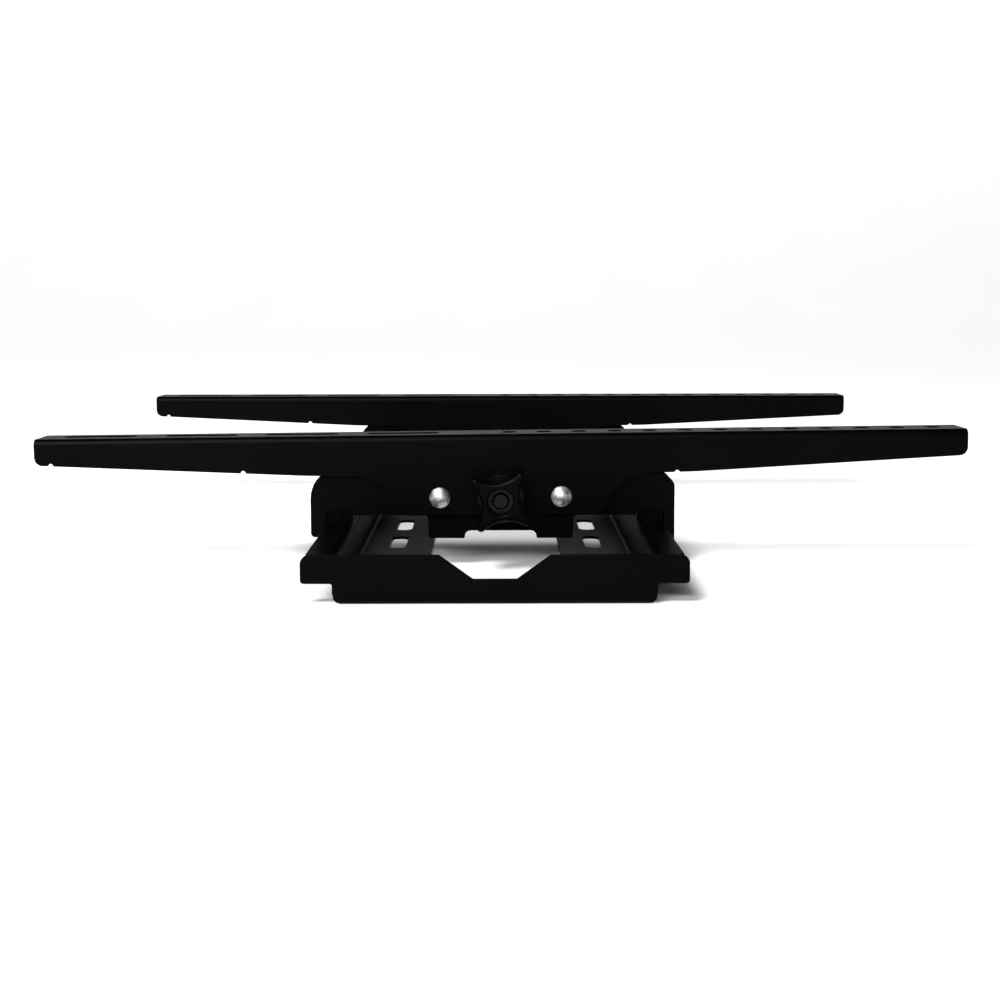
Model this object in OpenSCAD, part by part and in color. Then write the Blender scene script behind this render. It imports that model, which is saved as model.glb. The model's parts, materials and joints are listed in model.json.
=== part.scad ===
// Tilting wall mount for a flat screen, lying on its back with the wall side down.
// X runs down the wall, so the upper rail is at -X. Y runs along the rails. Z points away from the wall.
// Left and right are as seen from in front of the wall, so the left arm is at -Y.
// The origin is the middle of the face that goes against the wall.

/* [Wall plate] */
// Length of the wall plate along its rails
plate_len = 465; // [440:1:520]
// Width of the flat web that lies on the wall
web_w = 140; // [136:1:144]
// Thickness of the sheet that the wall plate is folded from
plate_t = 1.5; // [1.2:0.1:2]
// Inside radius of the folds
plate_bend = 1.5; // [1:0.1:2]
// Height of the rails' top face above the wall
rail_h = 21.5; // [20:0.5:24]
// How far each rail reaches out from its side wall
rail_reach = 11.5; // [10:0.1:12]

/* [Wall plate openings] */
// Width of the two windows in the web
window_w = 66; // [50:1:80]
// Width of the web left between each window and the end of the plate
end_strip = 40; // [30:1:60]
// Width of the bridge between the two windows
bridge_w = 30; // [20:1:60]
// Distance between the two rows of wall slots
slot_rows = 102.4; // [96:0.1:106]
// Distance between one wall slot and the next
slot_pitch = 56.5; // [50:0.5:60]
// Length of a wall slot
wall_slot_len = 35; // [20:1:42]
// Width of a wall slot
wall_slot_w = 9; // [7:0.1:10]
// Number of wall slots in a row
slots_in_row = 8; // [4:2:8]

/* [End flanges] */
// How far the ears reach past the edges of the rails
ear_over = 2.1; // [1:0.1:4]
// Height of an ear
ear_h = 12.5; // [8:0.5:14]
// Width of the cut-out at the top of the end flange
cut_top_w = 48; // [44:1:60]
// Width of the cut-out at its bottom
cut_low_w = 19; // [16:1:30]
// Depth of the cut-out
cut_depth = 10.5; // [9:0.5:13]

/* [Arms] */
// Length of an arm
arm_len = 450; // [430:1:520]
// Width of an arm
arm_w = 25; // [24.6:0.1:30]
// Thickness of the sheet that an arm is folded from
arm_t = 1.8; // [1.5:0.1:2]
// Inside radius of an arm's folds
arm_bend = 1.2; // [0.8:0.1:2]
// Height of the arm's outer face above the pivot
arm_rise = 30.4; // [29:0.1:36]
// Depth of the arm's sides at its ends
arm_end_depth = 12.6; // [10:0.1:16]
// Depth of the arm's sides where the middle part begins
arm_mid_depth = 19.7; // [17:0.1:22]
// Depth of the part in the middle that holds the pivot
belly_depth = 39.1; // [37:0.1:40]
// Half the width of that part at its bottom
belly_half_w = 48; // [44:1:54]
// Place of the left arm along the rails
left_arm_y = -136.9; // [-150:0.1:-110]
// Place of the right arm along the rails
right_arm_y = 116; // [100:0.1:150]
// Tilt of the left arm as it lies, in degrees
left_tilt = -0.55; // [-2:0.05:2]

/* [Screen holes] */
// Diameter of the screen holes
screen_hole_d = 7.5; // [6:0.1:9]
// Distance from the arm's end to its last screen hole
hole_end = 14.06; // [12:0.01:24]
// Width of a screen slot
screen_slot_w = 7; // [6:0.1:9]
// Material left between one screen slot and the next
screen_slot_gap = 13.7; // [12:0.1:20]
// Distance from the arm's end to the middle of its first screen slot
slot_end = 29.3; // [25:0.1:34]

/* [Hook brackets] */
// Width over the two side plates
bracket_w = 18; // [16:0.1:18.2]
// Thickness of the sheet
bracket_t = 2; // [1.5:0.1:2.5]
// How far the hook bracket reaches past the upper rail
hook_over = 8.2; // [7.5:0.1:14]
// How far it reaches past the lower rail
lock_over = 5.8; // [5.5:0.1:14]
// Height of its top face above the wall
bracket_top = 49; // [47:0.5:49.5]
// Height of its lower edge above the wall
sill_z = 25.4; // [24.5:0.1:26]
// Width of the upper hook's leg
upper_leg_w = 6.8; // [5:0.1:7]
// Width of the lower leg
lower_leg_w = 5; // [4:0.1:5.2]
// Width of the tongue between the rails
tongue_w = 70.4; // [66:0.1:80]
// Height of the tongue's lower edge above the wall
tongue_z = 14; // [10:0.5:16]
// Width of the notch in the tongue
notch_w = 35; // [20:1:50]
// Depth of the notch in the tongue
notch_depth = 3.8; // [2:0.1:6]
// Gap between the glide shoes and the top of the rails
shoe_gap = 0.1; // [0.05:0.01:0.3]
// Height of the glide shoes between the side plates
shoe_h = 11; // [8:0.5:16]

/* [Pivot and guides] */
// Place of the pivot along the arm's direction
pivot_x = 2.7; // [0:0.1:5]
// Height of the pivot above the wall
pivot_z = 34.7; // [34:0.1:36]
// Diameter of the pivot bolt
pivot_d = 8; // [7:0.5:8]
// Gap all round between the pivot bolt and what turns on it
pivot_gap = 0.08; // [0.04:0.01:0.1]
// Distance of the guide bolts from the pivot
guide_r = 29.4; // [27:0.1:32]
// Diameter of the guide bolts
guide_d = 6; // [5:0.5:6]
// Gap all round between a guide bolt and its curved slot
guide_gap = 0.3; // [0.25:0.05:0.6]
// Diameter of the guide bolts' heads
guide_head_d = 10; // [9:0.1:12]
// How far the screen tilts down, in degrees
tilt_down = 12; // [8:1:12]
// How far the screen tilts up, in degrees
tilt_up = 5; // [0:1:5]

/* [Tilt knob] */
// Distance from the middle of the knob to the middle of its hollow sides
knob_waist = 9.2; // [9:0.1:11]
// Radius of the hollow sides
flute_r = 16; // [14:0.5:17]
// Radius of the lobe tips
lobe_r = 2; // [1.8:0.1:2.5]
// Thickness of the lobed part
knob_t = 14; // [10:0.5:18]
// Diameter of the hub behind the lobes
hub_d = 17; // [15:0.5:18]
// Length of the hub
hub_t = 4; // [2:0.5:6]
// Diameter of the recess in the knob's face
recess_d = 12.4; // [11:0.1:14]
// Depth of the recess
recess_depth = 6.5; // [4:0.5:8]
// Turn of the knob as it lies, in degrees
knob_turn = 7; // [-45:1:45]

/* [Hidden] */
$fn = 48;

// Colours
coat = [0.06, 0.06, 0.065];
zinc = [0.74, 0.75, 0.77];
plastic = [0.05, 0.05, 0.055];
nylon = [0.12, 0.12, 0.12];
// Drawing allowance past a face that is cut through
past = 1;
// Wall plate
half_web = web_w / 2;
rail_edge = half_web + rail_reach;
fold = plate_t + plate_bend;
straight_len = plate_len - 2 * fold;
ear_edge = rail_edge + ear_over;
flange_top = rail_h + 0.1;
ear_low = flange_top - ear_h;
window_corner = 6;
flange_corner = 1.5;
ear_corner = 4;
neck_corner = 1;
neck_low_corner = 2.5;
window_len = plate_len / 2 - end_strip - bridge_w / 2;
// Hook bracket
bracket_up = rail_edge + hook_over;
bracket_down = rail_edge + lock_over;
hook_in = bracket_up - upper_leg_w;
lock_in = bracket_down - lower_leg_w;
pocket_z = sill_z + 1.8;
pocket_in = half_web - 1.3;
jaw_gap = 1.1;
jaw_z = rail_h - plate_t - jaw_gap;
jaw_low = 14.6;
jaw_tip = half_web + 5;
shoulder_x = bracket_down - 18.6;
shoulder_slope = 18;
shoulder_z = bracket_top - (bracket_down - shoulder_x) * tan(shoulder_slope);
bracket_bend = 1;
upper_corner_r = 15.6;
bridge_up = -(bracket_up - upper_corner_r) + 2;
bridge_down = shoulder_x - 2;
lock_d = 5;
lock_len = 10.5;
lock_z = jaw_z - lock_d / 2;
lock_leg_low = lock_z - lock_d / 2 - 3;
lock_tab_top = rail_h + 0.5;
// Glide shoes
shoe_play = 0.1;
shoe_z = rail_h + shoe_gap;
shoe_in = half_web - 1;
shoe_out = rail_edge - 0.2;
shoe_len = shoe_out - shoe_in;
groove_pitch = 1.95;
groove_r = 0.45;
// Across the arm, measured outward from its middle
arm_side = arm_w / 2;
arm_inside = arm_side - arm_t;
plate_side = bracket_w / 2;
running_gap = 0.1;
spacer_d = 14;
friction_washer_d = 26;
friction_washer_t = arm_inside - plate_side - running_gap;
guide_washer_d = 13;
knob_washer_d = 22;
knob_washer_t = 1.5;
hub_back = arm_side + knob_washer_t + running_gap;
knob_back = hub_back + hub_t;
knob_face = knob_back + knob_t;
recess_floor = knob_face - recess_depth;
bolt_end = recess_floor + 2;
// Arms
arm_shift = 0.5;
arm_half = arm_len / 2;
belly_top_half_w = belly_half_w + 12;
taper_end = belly_top_half_w + 35;
screen_holes = 13;
hole_start = 3.7;
screen_hole_pitch = (arm_half - hole_end - hole_start) / (screen_holes - 1);
screen_slots = 4;
slot_start = arm_half - slot_end;
slot_stop = 47.8;
screen_slot_pitch = (slot_start - slot_stop) / (screen_slots - 1);
screen_slot_len = screen_slot_pitch - screen_slot_gap;
key_notches = [7.7 - arm_half, -29.6 - taper_end, taper_end - 10.1];
key_notch_r = 1.3;
// Pivot and guides
bore_d = pivot_d + 2 * pivot_gap;
neck = pivot_d;
pivot_head_d = 18;
pivot_head_h = 4.2;
guide_hole_d = guide_d + 0.2;
guide_slot_w = guide_d + 2 * guide_gap;
guide_head_h = 3;
nut_flats = 10;
nut_h = 4.6;
collar_h = 1.6;
slot_over = 1;
tilt_span = tilt_down + tilt_up + 2 * slot_over;
// Knob: the lobe tips touch the circles of two hollow sides
flute_c = knob_waist + flute_r;
diag = flute_c * sqrt(2);
lobe_c = (diag - sqrt(diag * diag - 4 * (flute_c * flute_c - pow(flute_r + lobe_r, 2)))) / 2;
lobe_xy = lobe_c / sqrt(2);
flute_half = atan2(lobe_xy, flute_c - lobe_xy);
knob_bevel = 1.2;
insert_d = 12;

// Points of an arc about c from angle a to angle b
function arc(c, r, a, b, n) =
    [for (i = [0:n]) c + r * [cos(a + (b - a) * i / n), sin(a + (b - a) * i / n)]];

// The shorter way from angle a to angle b
function turn(a, b) = let (d = b - a) d > 180 ? d - 360 : d < -180 ? d + 360 : d;

// Arc that rounds the corner p between the points a and b
function round_corner(a, p, b, r) =
    let (u = (a - p) / norm(a - p),
         v = (b - p) / norm(b - p),
         half = acos(u * v) / 2,
         c = p + (u + v) / norm(u + v) * r / sin(half),
         s = p + u * r / tan(half) - c,
         e = p + v * r / tan(half) - c,
         first = atan2(s[1], s[0]),
         sweep = turn(first, atan2(e[1], e[0])))
    arc(c, r, first, first + sweep, max(3, ceil(abs(sweep) / 9)));

// Closed outline from corners given as [x, y, radius]
function rounded(p) =
    [for (i = [0:len(p) - 1])
        let (a = p[(i + len(p) - 1) % len(p)], b = p[(i + 1) % len(p)])
        each p[i][2] == 0 ? [[p[i][0], p[i][1]]]
            : round_corner([a[0], a[1]], [p[i][0], p[i][1]], [b[0], b[1]], p[i][2])];

// The corners mirrored left to right, in the order that keeps the outline going round
function mirrored(p) = [for (i = [len(p) - 1:-1:0]) [-p[i][0], p[i][1], p[i][2]]];

// Quarter ring between the positive axes, for a fold
module quarter_ring(r, t) {
    intersection() {
        difference() {
            circle(r + t);
            circle(r);
        }
        square(r + t);
    }
}

// Rectangle with two round upper corners, its top edge on the X axis
module capped(w, depth, r) {
    translate([-w / 2, -depth]) square([w, depth - r]);
    translate([-w / 2 + r, -r]) square([w - 2 * r, r]);
    for (s = [-1, 1]) translate([s * (w / 2 - r), -r]) circle(r);
}

// Section of a folded channel that is open below
module channel_section(w, depth, t, r) {
    difference() {
        capped(w, depth, r + t);
        translate([0, -t]) capped(w - 2 * t, depth, r);
    }
}

// Draws a flat shape in X and Z and pulls it along X or out along -Y
module along_x(len) {
    translate([-len / 2, 0, 0]) rotate([90, 0, 90]) linear_extrude(len) children();
}
module outward(start) {
    translate([0, -start, 0]) rotate([90, 0, 0]) children();
}

// Cutter for a slot with round ends, along X and centred
module slot_cutter(len, w, h) {
    translate([-(len - w) / 2, -w / 2, 0]) cube([len - w, w, h]);
    for (s = [-1, 1]) translate([s * (len - w) / 2, 0, 0]) cylinder(d = w, h = h);
}

// Domed head that stands on the XY plane
module dome_head(d, h) {
    rim = 0.25 * h;
    cap = h - rim;
    ball = (d * d / 4 + cap * cap) / (2 * cap);
    cylinder(d = d, h = rim);
    translate([0, 0, rim]) intersection() {
        translate([0, 0, cap - ball]) sphere(ball, $fn = 96);
        cylinder(d = d, h = cap);
    }
}

// Flat washer
module washer(d, hole, t) {
    difference() {
        cylinder(d = d, h = t);
        translate([0, 0, -past]) cylinder(d = hole, h = t + 2 * past);
    }
}

// Half of the wall plate's section: web, side wall and rail
module half_section() {
    square([half_web - fold, plate_t]);
    translate([half_web - fold, fold]) rotate(-90) quarter_ring(plate_bend, plate_t);
    translate([half_web - plate_t, fold]) square([plate_t, rail_h - 2 * fold]);
    translate([half_web + plate_bend, rail_h - fold]) rotate(90) quarter_ring(plate_bend, plate_t);
    translate([half_web + plate_bend, rail_h - plate_t]) square([rail_reach - plate_bend, plate_t]);
}

// Outline of an end flange above its fold
module flange_outline() {
    right = [[cut_low_w / 2, flange_top - cut_depth, flange_corner],
             [cut_top_w / 2, flange_top, flange_corner],
             [ear_edge, flange_top, ear_corner],
             [ear_edge, ear_low, flange_corner],
             [half_web, ear_low, neck_corner],
             [half_web, fold, neck_low_corner]];
    polygon(rounded(concat(right, mirrored(right))));
}

// End flange with its fold, at the end of the plate on the -Y side
module end_flange() {
    outward(plate_len / 2 - plate_t) linear_extrude(plate_t) flange_outline();
    translate([0, -plate_len / 2 + fold, fold])
        along_x(web_w - 2 * fold) rotate(180) quarter_ring(plate_bend, plate_t);
}

module wall_slots() {
    for (s = [-1, 1], i = [0:slots_in_row - 1])
        translate([s * slot_rows / 2, (i - (slots_in_row - 1) / 2) * slot_pitch, -past])
            rotate(90) slot_cutter(wall_slot_len, wall_slot_w, plate_t + 2 * past);
}

module windows() {
    inner_w = window_w - 2 * window_corner;
    for (s = [-1, 1]) translate([0, s * (bridge_w + window_len) / 2, -past]) {
        translate([-window_w / 2, -window_len / 2 + window_corner, 0])
            cube([window_w, window_len - 2 * window_corner, plate_t + 2 * past]);
        translate([-inner_w / 2, -window_len / 2, 0])
            cube([inner_w, window_len, plate_t + 2 * past]);
        for (a = [-1, 1], b = [-1, 1])
            translate([a * inner_w / 2, b * (window_len / 2 - window_corner), 0])
                cylinder(r = window_corner, h = plate_t + 2 * past);
    }
}

module wall_plate() {
    color(coat) difference() {
        union() {
            outward(-straight_len / 2) linear_extrude(straight_len) {
                half_section();
                mirror([1, 0]) half_section();
            }
            end_flange();
            mirror([0, 1, 0]) end_flange();
        }
        wall_slots();
        windows();
    }
}

// Outline of a hook bracket, drawn about the wall plate's middle
module bracket_outline() {
    t_right = pivot_x + tongue_w / 2;
    t_left = pivot_x - tongue_w / 2;
    n_right = pivot_x + notch_w / 2;
    n_left = pivot_x - notch_w / 2;
    n_top = tongue_z + notch_depth;
    polygon(rounded([
        [-bracket_up, jaw_low, 2],
        [-bracket_up, bracket_top, upper_corner_r],
        [shoulder_x, bracket_top, 12],
        [bracket_down, shoulder_z, 6],
        [bracket_down, lock_leg_low, 1.5],
        [lock_in, lock_leg_low, 1.5],
        [lock_in, pocket_z, 1.5],
        [pocket_in, pocket_z, 1],
        [pocket_in, sill_z, 0.5],
        [t_right, sill_z, 2.4],
        [t_right, tongue_z, 1.2],
        [n_right, tongue_z, 0.6],
        [n_right, n_top, 3],
        [n_left, n_top, 3],
        [n_left, tongue_z, 0.6],
        [t_left, tongue_z, 1.2],
        [t_left, sill_z, 2.4],
        [-pocket_in, sill_z, 0.5],
        [-pocket_in, pocket_z, 1],
        [-hook_in, pocket_z, 1.5],
        [-hook_in, jaw_z, 1],
        [-jaw_tip, jaw_z, 1],
        [-jaw_tip, jaw_low, 1.5]]));
}

// Outline of the curved slot that a guide bolt runs in, about the pivot
module guide_slot(start) {
    end = start + tilt_span;
    half_w = guide_slot_w / 2;
    polygon(concat(
        arc([0, 0], guide_r + half_w, start, end, 6),
        arc(guide_r * [cos(end), sin(end)], half_w, end + 15, end + 165, 10),
        arc([0, 0], guide_r - half_w, end, start, 6),
        arc(guide_r * [cos(start), sin(start)], half_w, start + 195, start + 345, 10)));
}

// The two side plates of a hook bracket, cut down where the folded top joins them
module side_plates() {
    cut_z = bracket_top - bracket_t - bracket_bend - past;
    inner_w = bracket_w - 2 * bracket_t;
    difference() {
        outward(-bracket_w / 2) linear_extrude(bracket_w) difference() {
            bracket_outline();
            translate([bridge_up, cut_z]) square([bridge_down - bridge_up, bracket_top]);
        }
        translate([-bracket_up - past, -inner_w / 2, 0])
            cube([bracket_up + bracket_down + 2 * past, inner_w, bracket_top + past]);
    }
}

// Hook bracket: a folded channel whose side plates hook round both rails
module hook_bracket() {
    inner_w = bracket_w - 2 * bracket_t;
    top_depth = bracket_t + bracket_bend + 2 * past;
    color(coat) difference() {
        union() {
            side_plates();
            translate([(bridge_up + bridge_down) / 2, 0, bracket_top])
                along_x(bridge_down - bridge_up)
                    channel_section(bracket_w, top_depth, bracket_t, bracket_bend);
            translate([bracket_down - bracket_t, -inner_w / 2, lock_leg_low + 2])
                cube([bracket_t, inner_w, lock_tab_top - lock_leg_low - 2]);
        }
        translate([pivot_x, 0, pivot_z]) outward(-bracket_w / 2 - past) {
            cylinder(d = bore_d, h = bracket_w + 2 * past);
            linear_extrude(bracket_w + 2 * past) {
                guide_slot(-tilt_down - slot_over);
                guide_slot(180 - tilt_down - slot_over);
            }
        }
        translate([bracket_down - bracket_t - past, 0, lock_z])
            rotate([0, 90, 0]) cylinder(d = lock_d, h = bracket_t + 2 * past);
    }
}

// Two shoes that fill the pockets under the side plates and glide on the rails
module glide_shoes() {
    inner_w = bracket_w - 2 * (bracket_t + shoe_play);
    low_h = pocket_z - shoe_play - shoe_z;
    color(nylon) for (s = [-1, 1]) translate([s * (shoe_in + shoe_len / 2), 0, shoe_z]) {
        difference() {
            translate([-shoe_len / 2, -bracket_w / 2, 0]) cube([shoe_len, bracket_w, low_h]);
            for (side = [-1, 1], i = [1:5])
                translate([s * (shoe_len / 2 - i * groove_pitch), side * bracket_w / 2, -past])
                    cylinder(r = groove_r, h = low_h + 2 * past);
        }
        translate([-shoe_len / 2, -inner_w / 2, 0]) cube([shoe_len, inner_w, shoe_h]);
    }
}

// Sleeve that keeps the side plates apart when the knob is tight
module pivot_spacer() {
    inner_w = bracket_w - 2 * bracket_t;
    color(zinc) outward(-inner_w / 2) washer(spacer_d, bore_d, inner_w);
}

// Set screw in the lower leg, which keeps the bracket from lifting off the lower rail
module lock_screw() {
    socket_d = 2.9;
    socket_depth = 3;
    color(zinc) translate([bracket_down, 0, lock_z]) rotate([0, -90, 0]) difference() {
        cylinder(d = lock_d, h = lock_len);
        translate([0, 0, -past]) cylinder(d = socket_d, h = socket_depth + past, $fn = 6);
    }
}

// Arm outline from its lower edge to its outer face, which is on the X axis
module arm_outline() {
    right = [[arm_half, -arm_end_depth, 4],
             [taper_end, -arm_mid_depth + 0.7, 0],
             [belly_top_half_w, -arm_mid_depth, 21],
             [belly_half_w, -belly_depth, 6]];
    polygon(rounded(concat([[-arm_half, 0, 0], [arm_half, 0, 0]], right, mirrored(right))));
}

// Depth of the arm's side at a place along its straight taper
function side_depth(x) =
    arm_end_depth + (arm_mid_depth - 0.7 - arm_end_depth) * (arm_half - abs(x)) / (arm_half - taper_end);

// Arm that is screwed to the screen, drawn about the pivot
module tv_arm() {
    color(coat) difference() {
        translate([arm_shift, 0, arm_rise]) difference() {
            intersection() {
                along_x(arm_len) channel_section(arm_w, belly_depth + past, arm_t, arm_bend);
                outward(-arm_side) linear_extrude(arm_w) arm_outline();
            }
            for (i = [0:screen_slots - 1])
                translate([-slot_start + i * screen_slot_pitch, 0, -arm_t - past])
                    slot_cutter(screen_slot_len, screen_slot_w, arm_t + 2 * past);
            for (i = [0:screen_holes - 1])
                translate([hole_start + i * screen_hole_pitch, 0, -arm_t - past])
                    cylinder(d = screen_hole_d, h = arm_t + 2 * past);
            for (x = key_notches)
                translate([x, 0, -side_depth(x)])
                    outward(-arm_side - past) cylinder(r = key_notch_r, h = arm_w + 2 * past);
        }
        outward(0) cylinder(d = pivot_d + 0.4, h = arm_side + past);
        translate([-neck / 2, 0, -neck / 2]) cube([neck, arm_side + past, neck]);
        for (s = [-1, 1]) translate([s * guide_r, 0, 0])
            outward(-arm_side - past) cylinder(d = guide_hole_d, h = arm_w + 2 * past);
    }
}

// Bolt with a domed head and a square neck that keys it in the arm's inner side
module pivot_bolt() {
    color(zinc) {
        outward(-arm_side) cylinder(d = pivot_d, h = arm_side + bolt_end - 0.8);
        outward(bolt_end - 0.8) cylinder(d1 = pivot_d, d2 = pivot_d - 1.6, h = 0.8);
        translate([-neck / 2, arm_side - arm_t, -neck / 2]) cube([neck, arm_t, neck]);
        translate([0, arm_side, 0]) rotate([-90, 0, 0]) dome_head(pivot_head_d, pivot_head_h);
    }
}

// Washer between a side plate and the arm, which rubs when the arm tilts
module friction_washer(start) {
    color(nylon) outward(start) washer(friction_washer_d, bore_d, friction_washer_t);
}

// Bolt with a domed head that runs in a curved slot of the hook bracket
module guide_bolt(s) {
    color(zinc) translate([s * guide_r, 0, 0]) {
        outward(-arm_side - nut_h - collar_h) cylinder(d = guide_d, h = arm_w + nut_h + collar_h);
        outward(arm_side) dome_head(guide_head_d, guide_head_h);
    }
}

// Self-locking nut on a guide bolt, on the arm's inner side
module guide_nut(s) {
    color(zinc) translate([s * guide_r, arm_side, 0]) rotate([-90, 0, 0]) difference() {
        union() {
            cylinder(d = nut_flats / cos(30), h = nut_h, $fn = 6);
            cylinder(d = nut_flats - 0.8, h = nut_h + collar_h);
        }
        translate([0, 0, -past]) cylinder(d = guide_d, h = nut_h + collar_h + 2 * past);
    }
}

// Four washers that fill the gap beside the side plates at the guide bolts
module guide_washers() {
    color(nylon) for (s = [-1, 1], start = [plate_side + running_gap, -arm_inside])
        translate([s * guide_r, 0, 0])
            outward(start) washer(guide_washer_d, guide_hole_d, friction_washer_t);
}

module knob_washer() {
    color(zinc) outward(arm_side) washer(knob_washer_d, pivot_d + 0.4, knob_washer_t);
}

// Outline of the knob: four lobes with hollow sides between them
module lobes() {
    polygon([for (k = [0:3])
        let (a = 90 * k,
             m = [[cos(a), -sin(a)], [sin(a), cos(a)]],
             tip = arc([lobe_xy, lobe_xy], lobe_r, -flute_half, 90 + flute_half, 10),
             side = arc([0, flute_c], flute_r, -90 + flute_half, -90 - flute_half, 14))
        each [for (p = concat(tip, [for (i = [1:len(side) - 2]) side[i]])) m * p]]);
}

// Knob that clamps the arm at its tilt
module tilt_knob() {
    color(plastic) rotate([0, -knob_turn, 0]) difference() {
        union() {
            outward(hub_back) cylinder(d = hub_d, h = hub_t + past);
            outward(knob_back) linear_extrude(knob_t - knob_bevel) lobes();
            outward(knob_face - knob_bevel)
                linear_extrude(knob_bevel, scale = 1 - knob_bevel / (lobe_c + lobe_r)) lobes();
        }
        outward(hub_back - past) cylinder(d = insert_d, h = recess_floor - hub_back + past);
        outward(recess_floor) cylinder(d = recess_d, h = recess_depth + past);
    }
}

// Threaded bush in the knob
module knob_insert() {
    color(zinc) outward(hub_back) washer(insert_d, bore_d, recess_floor - hub_back);
}

// Places: brackets stand on the rails, and what rides on an arm turns about its pivot
module on_left_rails() {
    translate([0, left_arm_y, 0]) children();
}
module on_right_rails() {
    translate([0, right_arm_y, 0]) mirror([0, 1, 0]) children();
}
module on_left_arm() {
    translate([pivot_x, left_arm_y, pivot_z]) rotate([0, left_tilt, 0]) children();
}
module on_right_arm() {
    translate([pivot_x, right_arm_y, pivot_z]) mirror([0, 1, 0]) children();
}
module at_pivot() {
    translate([pivot_x, 0, pivot_z]) children();
}

module left_hook_bracket() on_left_rails() hook_bracket();
module left_glide_shoes() on_left_rails() glide_shoes();
module left_pivot_spacer() on_left_rails() at_pivot() pivot_spacer();
module left_lock_screw() on_left_rails() lock_screw();
module left_tv_arm() on_left_arm() tv_arm();
module left_pivot_bolt() on_left_arm() pivot_bolt();
module left_outer_friction_washer() on_left_arm() friction_washer(plate_side + running_gap);
module left_inner_friction_washer() on_left_arm() friction_washer(-arm_inside);
module left_upper_guide_bolt() on_left_arm() guide_bolt(-1);
module left_lower_guide_bolt() on_left_arm() guide_bolt(1);
module left_upper_guide_nut() on_left_arm() guide_nut(-1);
module left_lower_guide_nut() on_left_arm() guide_nut(1);
module left_guide_washers() on_left_arm() guide_washers();
module left_knob_washer() on_left_arm() knob_washer();
module left_tilt_knob() on_left_arm() tilt_knob();
module left_knob_insert() on_left_arm() knob_insert();

module right_hook_bracket() on_right_rails() hook_bracket();
module right_glide_shoes() on_right_rails() glide_shoes();
module right_pivot_spacer() on_right_rails() at_pivot() pivot_spacer();
module right_lock_screw() on_right_rails() lock_screw();
module right_tv_arm() on_right_arm() tv_arm();
module right_pivot_bolt() on_right_arm() pivot_bolt();
module right_outer_friction_washer() on_right_arm() friction_washer(plate_side + running_gap);
module right_inner_friction_washer() on_right_arm() friction_washer(-arm_inside);
module right_upper_guide_bolt() on_right_arm() guide_bolt(-1);
module right_lower_guide_bolt() on_right_arm() guide_bolt(1);
module right_upper_guide_nut() on_right_arm() guide_nut(-1);
module right_lower_guide_nut() on_right_arm() guide_nut(1);
module right_guide_washers() on_right_arm() guide_washers();
module right_knob_washer() on_right_arm() knob_washer();
module right_tilt_knob() on_right_arm() tilt_knob();
module right_knob_insert() on_right_arm() knob_insert();

wall_plate();
left_hook_bracket();
left_glide_shoes();
left_pivot_spacer();
left_lock_screw();
left_tv_arm();
left_pivot_bolt();
left_outer_friction_washer();
left_inner_friction_washer();
left_upper_guide_bolt();
left_lower_guide_bolt();
left_upper_guide_nut();
left_lower_guide_nut();
left_guide_washers();
left_knob_washer();
left_tilt_knob();
left_knob_insert();
right_hook_bracket();
right_glide_shoes();
right_pivot_spacer();
right_lock_screw();
right_tv_arm();
right_pivot_bolt();
right_outer_friction_washer();
right_inner_friction_washer();
right_upper_guide_bolt();
right_lower_guide_bolt();
right_upper_guide_nut();
right_lower_guide_nut();
right_guide_washers();
right_knob_washer();
right_tilt_knob();
right_knob_insert();
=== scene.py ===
"""Tilting wall mount for a flat screen, lying on its back on a white table."""

import json
import math

import bmesh
import bpy
from mathutils import Matrix, Vector


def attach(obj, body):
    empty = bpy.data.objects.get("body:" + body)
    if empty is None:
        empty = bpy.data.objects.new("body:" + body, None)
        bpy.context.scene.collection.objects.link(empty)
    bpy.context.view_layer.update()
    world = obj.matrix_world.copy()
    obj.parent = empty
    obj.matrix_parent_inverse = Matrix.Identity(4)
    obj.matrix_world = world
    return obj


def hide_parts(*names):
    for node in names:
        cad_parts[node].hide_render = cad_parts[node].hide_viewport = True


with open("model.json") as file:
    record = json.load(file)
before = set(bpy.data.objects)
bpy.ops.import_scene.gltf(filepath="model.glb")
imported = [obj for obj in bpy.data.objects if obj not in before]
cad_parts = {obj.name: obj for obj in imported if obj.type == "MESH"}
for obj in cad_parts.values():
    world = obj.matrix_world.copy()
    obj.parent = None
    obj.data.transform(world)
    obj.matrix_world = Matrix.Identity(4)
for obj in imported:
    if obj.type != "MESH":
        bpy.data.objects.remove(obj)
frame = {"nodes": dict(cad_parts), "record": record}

MM = 0.001
SIDES = ("left", "right")
# Tilt of the left arm as it lies; the right arm lies level.
LEFT_TILT = math.radians(-0.55)
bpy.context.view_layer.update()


# Materials

def new_material(name):
    """A material with its node tree and its shader."""
    material = bpy.data.materials.new(name)
    material.use_nodes = True
    return material, material.node_tree, material.node_tree.nodes["Principled BSDF"]


def node(tree, kind, **sockets):
    """A texture node with the values of its sockets; spaces in their names are underscores."""
    made = tree.nodes.new(kind)
    for name, value in sockets.items():
        made.inputs[name.replace("_", " ")].default_value = value
    return made


def noise(tree, scale, detail=2.0, roughness=0.5):
    """Noise on object coordinates, scale in bumps per metre."""
    made = node(tree, "ShaderNodeTexNoise", Scale=scale, Detail=detail, Roughness=roughness)
    place = tree.nodes.get("Texture Coordinate") or tree.nodes.new("ShaderNodeTexCoord")
    tree.links.new(place.outputs["Object"], made.inputs["Vector"])
    return made.outputs["Fac"]


def ramp(tree, value, low, high):
    """Maps a value from 0..1 to low..high."""
    made = tree.nodes.new("ShaderNodeMapRange")
    made.inputs["To Min"].default_value = low
    made.inputs["To Max"].default_value = high
    tree.links.new(value, made.inputs["Value"])
    return made.outputs["Result"]


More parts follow.
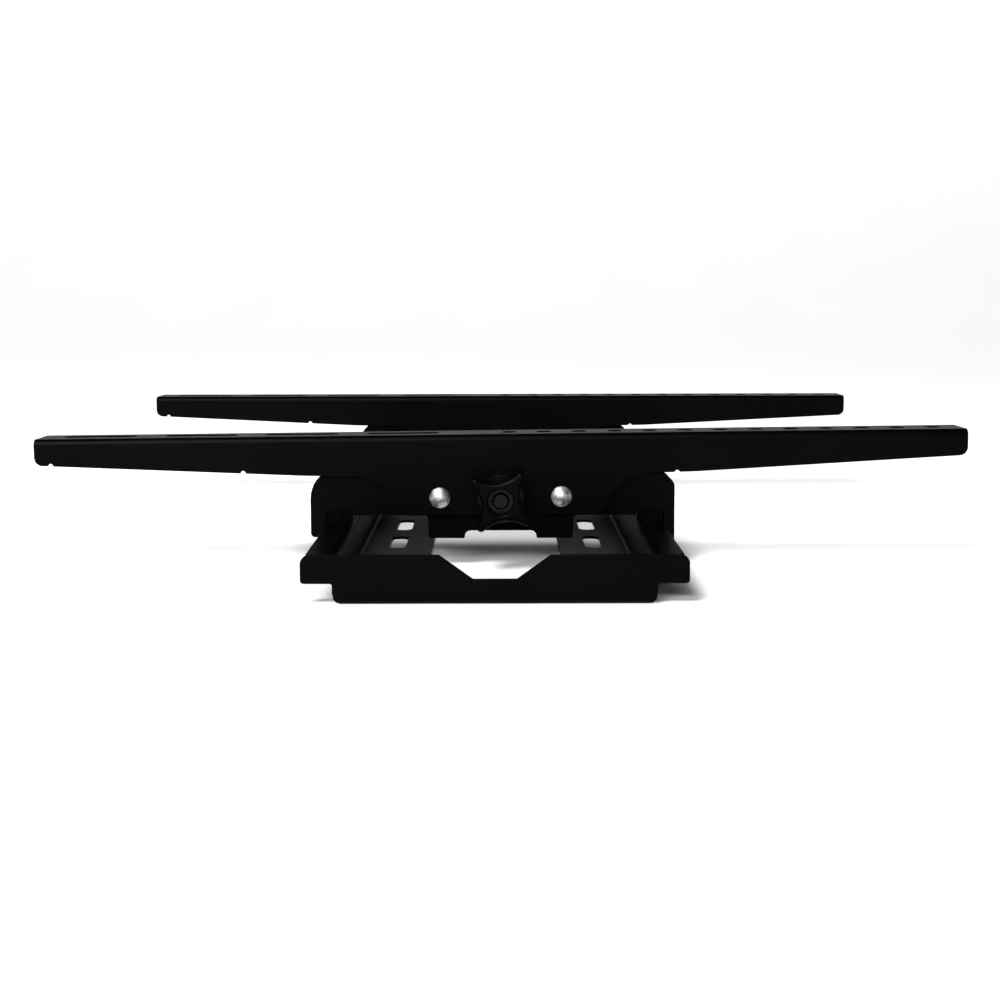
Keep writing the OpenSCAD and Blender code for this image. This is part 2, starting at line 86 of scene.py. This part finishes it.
def colour_between(tree, value, dark, light):
    """A colour between two, by a value from 0 to 1."""
    made = tree.nodes.new("ShaderNodeValToRGB")
    made.color_ramp.elements[0].position = 0.3
    made.color_ramp.elements[0].color = (*dark, 1)
    made.color_ramp.elements[1].position = 0.7
    made.color_ramp.elements[1].color = (*light, 1)
    tree.links.new(value, made.inputs["Fac"])
    return made.outputs["Color"]


def bump(tree, shader, heights):
    """Adds relief from (height, strength, distance in metres) triples to a shader."""
    normal = None
    for height, strength, distance in heights:
        made = node(tree, "ShaderNodeBump", Strength=strength, Distance=distance)
        tree.links.new(height, made.inputs["Height"])
        if normal:
            tree.links.new(normal, made.inputs["Normal"])
        normal = made.outputs["Normal"]
    tree.links.new(normal, shader.inputs["Normal"])


def powder_coat():
    """Black satin powder coat: a fine grain over a slow orange-peel wave."""
    material, tree, shader = new_material("black powder coat")
    grain = noise(tree, scale=2600, detail=3, roughness=0.6)
    peel = noise(tree, scale=420, detail=2)
    cloud = noise(tree, scale=30, detail=3)
    colour = colour_between(tree, cloud, dark=(0.0003, 0.0003, 0.00032), light=(0.0006, 0.0006, 0.00065))
    tree.links.new(colour, shader.inputs["Base Color"])
    tree.links.new(ramp(tree, cloud, low=0.38, high=0.48), shader.inputs["Roughness"])
    shader.inputs["Specular IOR Level"].default_value = 0.028
    bump(tree, shader, [(peel, 0.12, 0.0002), (grain, 0.22, 0.00006)])
    return material


def bright_zinc():
    """Barrel-plated zinc: satin, mottled by handling, with a fine grain."""
    material, tree, shader = new_material("mottled zinc")
    mottle = noise(tree, scale=620, detail=4, roughness=0.65)
    fine = noise(tree, scale=6000, detail=2)
    colour = colour_between(tree, mottle, dark=(0.13, 0.13, 0.14), light=(0.66, 0.66, 0.67))
    tree.links.new(colour, shader.inputs["Base Color"])
    tree.links.new(ramp(tree, mottle, low=0.34, high=0.56), shader.inputs["Roughness"])
    shader.inputs["Metallic"].default_value = 1.0
    bump(tree, shader, [(mottle, 0.35, 0.0002), (fine, 0.1, 0.00003)])
    return material


def blackened_steel():
    """Black-passivated steel of the pivot bolt, the bush and the washer under the knob."""
    material, tree, shader = new_material("blackened steel")
    cloud = noise(tree, scale=900, detail=3, roughness=0.6)
    colour = colour_between(tree, cloud, dark=(0.006, 0.006, 0.007), light=(0.018, 0.018, 0.020))
    tree.links.new(colour, shader.inputs["Base Color"])
    tree.links.new(ramp(tree, cloud, low=0.28, high=0.42), shader.inputs["Roughness"])
    shader.inputs["Metallic"].default_value = 1.0
    bump(tree, shader, [(cloud, 0.2, 0.0001)])
    return material


def moulded_plastic():
    """Black moulded plastic with a fine spark-eroded skin."""
    material, tree, shader = new_material("black moulded plastic")
    skin = noise(tree, scale=4200, detail=2, roughness=0.6)
    slow = noise(tree, scale=160, detail=2)
    colour = colour_between(tree, slow, dark=(0.0003, 0.0003, 0.00034), light=(0.0008, 0.0008, 0.0009))
    tree.links.new(colour, shader.inputs["Base Color"])
    tree.links.new(ramp(tree, slow, low=0.24, high=0.34), shader.inputs["Roughness"])
    shader.inputs["Specular IOR Level"].default_value = 0.03
    bump(tree, shader, [(skin, 0.2, 0.00005)])
    return material


def dull_fibre():
    """Dull black fibre of the friction washers."""
    material, tree, shader = new_material("dull black fibre")
    speck = noise(tree, scale=3000, detail=3, roughness=0.7)
    colour = colour_between(tree, speck, dark=(0.002, 0.002, 0.002), light=(0.006, 0.006, 0.006))
    tree.links.new(colour, shader.inputs["Base Color"])
    shader.inputs["Roughness"].default_value = 0.75
    bump(tree, shader, [(speck, 0.3, 0.0001)])
    return material


def waxy_nylon():
    """Black nylon of the glide shoes, a little waxy."""
    material, tree, shader = new_material("black nylon")
    slow = noise(tree, scale=220, detail=2)
    colour = colour_between(tree, slow, dark=(0.0005, 0.0005, 0.0005), light=(0.0012, 0.0012, 0.0012))
    tree.links.new(colour, shader.inputs["Base Color"])
    tree.links.new(ramp(tree, slow, low=0.40, high=0.52), shader.inputs["Roughness"])
    shader.inputs["Specular IOR Level"].default_value = 0.02
    bump(tree, shader, [(slow, 0.1, 0.0002)])
    return material


# Painted light: the table glows past these half sizes of the wall plate, over a soft border, and is left
# without glow inside them as painted shade under the plate.
PAINTED_SHADE_HALF_X, PAINTED_SHADE_HALF_Y = 84 * MM, 236 * MM
PAINTED_GLOW_BORDER, PAINTED_TABLE_GLOW = 30 * MM, 0.55


def past_rectangle(tree, half_x, half_y):
    """How far a point lies outside a rectangle about the origin, in metres."""
    split = tree.nodes.new("ShaderNodeSeparateXYZ")
    tree.links.new(tree.nodes["Texture Coordinate"].outputs["Object"], split.inputs["Vector"])
    reach = tree.nodes.new("ShaderNodeMath")
    reach.operation = "MAXIMUM"
    for axis, half, socket in (("X", half_x, 0), ("Y", half_y, 1)):
        size = tree.nodes.new("ShaderNodeMath")
        size.operation = "ABSOLUTE"
        tree.links.new(split.outputs[axis], size.inputs[0])
        past = tree.nodes.new("ShaderNodeMath")
        past.operation = "SUBTRACT"
        past.inputs[1].default_value = half
        tree.links.new(size.outputs[0], past.inputs[0])
        tree.links.new(past.outputs[0], reach.inputs[socket])
    return reach.outputs[0]


def white_table():
    """White table top, overexposed as in a catalogue picture by a painted glow, except under the wall
    plate's footprint, which is left without glow as painted shade.
    """
    material, tree, shader = new_material("white table with painted glow")
    slow = noise(tree, scale=6, detail=2)
    colour = colour_between(tree, slow, dark=(0.87, 0.87, 0.87), light=(0.9, 0.9, 0.9))
    tree.links.new(colour, shader.inputs["Base Color"])
    shader.inputs["Roughness"].default_value = 0.6
    shader.inputs["Specular IOR Level"].default_value = 0.2
    # Painted light and shade: emission rises from none over the plate's footprint to the full glow past the
    # soft border.
    painted_glow = ramp(tree, past_rectangle(tree, PAINTED_SHADE_HALF_X, PAINTED_SHADE_HALF_Y), low=0.0, high=PAINTED_TABLE_GLOW)
    painted_glow.node.inputs["From Max"].default_value = PAINTED_GLOW_BORDER
    painted_glow.node.interpolation_type = "SMOOTHSTEP"
    tree.links.new(painted_glow, shader.inputs["Emission Strength"])
    shader.inputs["Emission Color"].default_value = (1, 1, 1, 1)
    return material


MATERIALS = {
    "coat": powder_coat(),
    "zinc": bright_zinc(),
    "knob": moulded_plastic(),
    "fibre": dull_fibre(),
    "nylon": waxy_nylon(),
}
BLACKENED = blackened_steel()


def dress(obj, slot):
    """Gives an object the finish of one of the record's material slots."""
    obj.data.materials.clear()
    obj.data.materials.append(MATERIALS[slot])


def dress_cad_nodes():
    """Gives each CAD node its slot's finish, and the steel in the middle of the knobs a black one."""
    slots = {part["node"]: part["material_slot"] for part in frame["record"]["subparts"]}
    for name, obj in frame["nodes"].items():
        dress(obj, slots[name])
        if name.endswith(("_pivot_bolt", "_knob_insert", "_knob_washer")):
            obj.data.materials[0] = BLACKENED


# Shapes

def merged_copy(name):
    """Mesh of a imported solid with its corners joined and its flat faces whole."""
    mesh = bmesh.new()
    mesh.from_mesh(frame["nodes"][name].data)
    bmesh.ops.remove_doubles(mesh, verts=mesh.verts, dist=0.002 * MM)
    bmesh.ops.dissolve_limit(mesh, angle_limit=math.radians(0.6), verts=mesh.verts, edges=mesh.edges)
    return mesh


def stack_rings(segments, rings):
    """Closed shell through rings about the Z axis, each a height and a radius or a radius by angle."""
    mesh = bmesh.new()
    verts = bmesh.ops.create_circle(mesh, cap_ends=False, radius=1, segments=segments)["verts"]
    edges = list(mesh.edges)
    for number, (height, radius) in enumerate(rings + rings[:1]):
        if number:
            made = bmesh.ops.extrude_edge_only(mesh, edges=edges)["geom"]
            verts = [g for g in made if isinstance(g, bmesh.types.BMVert)]
            fresh = set(verts)
            edges = [g for g in made if isinstance(g, bmesh.types.BMEdge) and fresh.issuperset(g.verts)]
        for v in verts:
            angle = math.atan2(v.co.y, v.co.x)
            reach = radius(angle) if callable(radius) else radius
            v.co = (reach * math.cos(angle), reach * math.sin(angle), height)
    bmesh.ops.remove_doubles(mesh, verts=mesh.verts, dist=0.001 * MM)
    bmesh.ops.recalc_face_normals(mesh, faces=mesh.faces)
    return mesh


def quarter(steps):
    """Angles from 0 to 90 degrees."""
    return [math.pi / 2 * i / steps for i in range(steps + 1)]


def stand_on_arm(mesh, side, turn=0.0):
    """Moves a shape made along Z to the side's pivot, its Z pointing out along the rails."""
    joint = next(j for j in frame["record"]["behaviour"]["joints"] if j["name"] == side + "_arm_tilt")
    place = Matrix.Translation(joint["pos_m"])
    if side == "left":
        place = place @ Matrix.Rotation(LEFT_TILT, 4, "Y")
    else:
        place = place @ Matrix.Scale(-1, 4, (0, 1, 0))
    place = place @ Matrix.Rotation(turn, 4, "Y") @ Matrix.Rotation(math.pi / 2, 4, "X")
    bmesh.ops.transform(mesh, matrix=place, verts=mesh.verts)
    bmesh.ops.recalc_face_normals(mesh, faces=mesh.faces)


def finish_piece(mesh, name, body, slot, replaced):
    """Makes the shape an object that wears its finish, rides its body and replaces its solid."""
    data = bpy.data.meshes.new(name)
    mesh.to_mesh(data)
    mesh.free()
    data.shade_smooth()
    data.set_sharp_from_angle(angle=math.radians(50))
    obj = bpy.data.objects.new(name, data)
    bpy.context.collection.objects.link(obj)
    even = obj.modifiers.new("even shading", "WEIGHTED_NORMAL")
    even.keep_sharp = True
    dress(obj, slot)
    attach(obj, body)
    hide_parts(replaced)


# Folded steel with eased edges

EASED_R = 0.2 * MM
CUT_EDGE = math.radians(35)
# Stations along X where the bracket's folds begin; rounding throws up spikes there.
FOLD_STARTS = (-72.1 * MM, 66.7 * MM)
FOLD_REACH = 0.6 * MM


def ease_edges(mesh, left_sharp=()):
    """Rounds the cut edges of sheet a little, apart from those at the stations left sharp."""
    sharp = [e for e in mesh.edges
             if e.calc_face_angle(0) > CUT_EDGE
             and not any(abs(v.co.x - x) < FOLD_REACH for v in e.verts for x in left_sharp)]
    bmesh.ops.bevel(mesh, geom=sharp, offset=EASED_R, offset_type="OFFSET", affect="EDGES",
                    segments=2, profile=0.5, material=-1, clamp_overlap=False)


def folded_steel():
    """Wall plate, hook brackets and arms, as cut, folded and deburred sheet."""
    plate = merged_copy("wall_plate")
    ease_edges(plate)
    finish_piece(plate, "folded_wall_plate", "plate", "coat", "wall_plate")
    for side in SIDES:
        bracket = merged_copy(side + "_hook_bracket")
        ease_edges(bracket, left_sharp=FOLD_STARTS)
        finish_piece(bracket, "folded_%s_bracket" % side, side + "_bracket", "coat", side + "_hook_bracket")
        arm = merged_copy(side + "_tv_arm")
        ease_edges(arm)
        finish_piece(arm, "folded_%s_arm" % side, side + "_arm", "coat", side + "_tv_arm")


# Tilt knobs

FLUTE_CENTRE, FLUTE_R = 25.2 * MM, 16 * MM
LOBE_CENTRE, LOBE_R = 15.2735 * MM, 2 * MM
HUB_BACK, KNOB_BACK, KNOB_FACE = 14.1 * MM, 18.1 * MM, 32.1 * MM
RECESS_FLOOR, RECESS_R, BUSH_R = 25.6 * MM, 6.2 * MM, 6.0 * MM
HUB_R, HUB_FOOT_R, HUB_FOOT = 8.5 * MM, 9.0 * MM, 0.5 * MM
BACK_ROUND, FACE_ROUND, LIP_ROUND, HUB_ROUND = 0.8 * MM, 1.6 * MM, 0.7 * MM, 0.6 * MM
KNOB_TURN = math.radians(-7)
KNOB_SEGMENTS = 360


def knob_edge(inset):
    """Radius of the lobed outline by angle, pulled in all round by inset."""
    flute, lobe = FLUTE_R + inset, LOBE_R - inset
    lobe_along = LOBE_CENTRE * math.sqrt(0.5)
    away = Vector((lobe_along - FLUTE_CENTRE, lobe_along)).normalized()
    meet = Vector((FLUTE_CENTRE, 0)) + flute * away
    meet_angle = math.atan2(meet.y, meet.x)

    def radius(angle):
        from_flute = abs((angle + math.pi / 4) % (math.pi / 2) - math.pi / 4)
        if from_flute < meet_angle:
            beside = FLUTE_CENTRE * math.sin(from_flute)
            return FLUTE_CENTRE * math.cos(from_flute) - math.sqrt(flute ** 2 - beside ** 2)
        from_lobe = math.pi / 4 - from_flute
        beside = LOBE_CENTRE * math.sin(from_lobe)
        return LOBE_CENTRE * math.cos(from_lobe) + math.sqrt(lobe ** 2 - beside ** 2)
    return radius


def lobed_knob(side):
    """Four-lobed clamping knob with a hub, a rounded rim and a recess round the pivot's end."""
    rings = [(KNOB_BACK + BACK_ROUND * (1 - math.cos(a)), knob_edge(BACK_ROUND * (1 - math.sin(a))))
             for a in quarter(3)]
    rings += [(KNOB_FACE - FACE_ROUND * (1 - math.sin(a)), knob_edge(FACE_ROUND * (1 - math.cos(a))))
              for a in quarter(6)]
    rings += [(KNOB_FACE - LIP_ROUND * (1 - math.cos(a)), RECESS_R + LIP_ROUND * (1 - math.sin(a)))
              for a in quarter(4)]
    rings += [(RECESS_FLOOR, RECESS_R), (RECESS_FLOOR, BUSH_R), (HUB_BACK, BUSH_R)]
    rings += [(HUB_BACK + HUB_ROUND * (1 - math.cos(a)), HUB_R - HUB_ROUND * (1 - math.sin(a)))
              for a in quarter(3)]
    rings += [(KNOB_BACK - HUB_FOOT, HUB_R), (KNOB_BACK, HUB_FOOT_R)]
    knob = stack_rings(KNOB_SEGMENTS, rings)
    stand_on_arm(knob, side, KNOB_TURN)
    finish_piece(knob, side + "_lobed_knob", side + "_knob", "knob", side + "_tilt_knob")


# Locking nuts on the guide bolts

GUIDE_R = 29.4 * MM
NUT_START, NUT_FLATS, NUT_HEIGHT, NUT_BORE_R = 12.5 * MM, 10 * MM, 4.6 * MM, 3 * MM
NUT_FACE_R = 4.75 * MM
COLLAR_HEIGHT, COLLAR_R, COLLAR_ROUND = 1.6 * MM, 4.6 * MM, 0.8 * MM
# The chamfer by its distance from the nut's end and the largest radius there.
CHAMFER = ((0.1 * MM, 5.0 * MM), (0.3 * MM, 5.3 * MM), (0.5 * MM, 5.6 * MM), (0.65 * MM, 6.0 * MM))
NUT_SEGMENTS = 96


def capped_hexagon(flats, limit):
    """Radius of a hexagon by angle, cut off at a limit, as a nut's chamfer does."""
    def radius(angle):
        from_flat = (angle + math.pi / 6) % (math.pi / 3) - math.pi / 6
        return min(flats / 2 / math.cos(from_flat), limit)
    return radius


def locking_nut(side, place, x):
    """Self-locking nut with chamfered corners and a rolled collar."""
    nut_end = NUT_START + NUT_HEIGHT
    collar_end = nut_end + COLLAR_HEIGHT
    rings = [(NUT_START, NUT_BORE_R), (NUT_START, NUT_FACE_R)]
    rings += [(NUT_START + lift, capped_hexagon(NUT_FLATS, limit)) for lift, limit in CHAMFER]
    rings += [(nut_end - drop, capped_hexagon(NUT_FLATS, limit)) for drop, limit in reversed(CHAMFER)]
    rings += [(nut_end, COLLAR_R)]
    rings += [(collar_end - COLLAR_ROUND * (1 - math.sin(a)), COLLAR_R - COLLAR_ROUND * (1 - math.cos(a)))
              for a in quarter(4)]
    rings += [(collar_end, NUT_BORE_R)]
    nut = stack_rings(NUT_SEGMENTS, rings)
    bmesh.ops.rotate(nut, verts=nut.verts, cent=(0, 0, 0), matrix=Matrix.Rotation(math.pi, 3, "X"))
    bmesh.ops.translate(nut, verts=nut.verts, vec=(x, 0, 0))
    stand_on_arm(nut, side)
    name = "%s_%s_locking_nut" % (side, place)
    finish_piece(nut, name, side + "_arm", "zinc", "%s_%s_guide_nut" % (side, place))


# Stage, light and camera

def stage_sweep():
    """White table top that sweeps up into a backdrop behind the mount."""
    front, back, width, height, bend = -7.0, 2.2, 16.0, 1.7, 1.2
    mesh = bmesh.new()
    bmesh.ops.create_grid(mesh, x_segments=1, y_segments=1, size=0.5)
    bmesh.ops.scale(mesh, vec=(width, back - front, 1), verts=mesh.verts)
    bmesh.ops.translate(mesh, vec=(0, (front + back) / 2, 0), verts=mesh.verts)
    rear = [e for e in mesh.edges if all(v.co.y > back - 1e-6 for v in e.verts)]
    bmesh.ops.spin(mesh, geom=rear, cent=(0, back, bend), axis=(1, 0, 0),
                   angle=math.pi / 2, steps=24, use_duplicate=False)
    top = [e for e in mesh.edges if all(v.co.z > bend - 1e-4 for v in e.verts)]
    risen = bmesh.ops.extrude_edge_only(mesh, edges=top)["geom"]
    risen = [v for v in risen if isinstance(v, bmesh.types.BMVert)]
    bmesh.ops.translate(mesh, vec=(0, 0, height - bend), verts=risen)
    data = bpy.data.meshes.new("table sweep")
    mesh.to_mesh(data)
    mesh.free()
    for face in data.polygons:
        face.use_smooth = True
    obj = bpy.data.objects.new("table_sweep", data)
    bpy.context.collection.objects.link(obj)
    obj.data.materials.append(white_table())


def softbox(name, place, target, width, height, power):
    """Area light that faces a point."""
    light = bpy.data.lights.new(name, "AREA")
    light.shape = "RECTANGLE"
    light.size = width
    light.size_y = height
    light.energy = power
    obj = bpy.data.objects.new(name, light)
    bpy.context.collection.objects.link(obj)
    obj.location = place
    obj.rotation_mode = "QUATERNION"
    obj.rotation_quaternion = (Vector(target) - Vector(place)).to_track_quat("-Z", "Y")


def studio_light():
    """High key light from the front left, a low wide strip in front and a weak fill all round."""
    softbox("key", place=(-0.80, -1.45, 1.70), target=(0, 0, 0), width=0.7, height=0.7, power=60)
    softbox("low strip", place=(-0.60, -2.25, 1.05), target=(0, -0.1, 0), width=1.8, height=0.40, power=52)
    world = bpy.data.worlds.new("studio")
    world.use_nodes = True
    world.node_tree.nodes["Background"].inputs["Color"].default_value = (1, 1, 1, 1)
    world.node_tree.nodes["Background"].inputs["Strength"].default_value = 0.02
    bpy.context.scene.world = world
    bpy.context.scene.view_settings.view_transform = "Standard"


def photo_camera():
    """Camera at the photograph's viewpoint, looking along the rails and a little down."""
    camera = bpy.data.cameras.new("photo view")
    camera.sensor_width = 36
    camera.lens = 52.2
    camera.shift_y = -0.04
    camera.clip_start = 0.01
    camera.clip_end = 50
    obj = bpy.data.objects.new("photo view", camera)
    bpy.context.collection.objects.link(obj)
    obj.location = (1.15 * MM, -843.4 * MM, 134.1 * MM)
    obj.rotation_euler = (math.radians(83.313), math.radians(0.12), math.radians(-0.12))
    bpy.context.scene.camera = obj


dress_cad_nodes()
folded_steel()
for side in SIDES:
    lobed_knob(side)
    locking_nut(side, "upper", -GUIDE_R)
    locking_nut(side, "lower", GUIDE_R)
stage_sweep()
studio_light()
photo_camera()
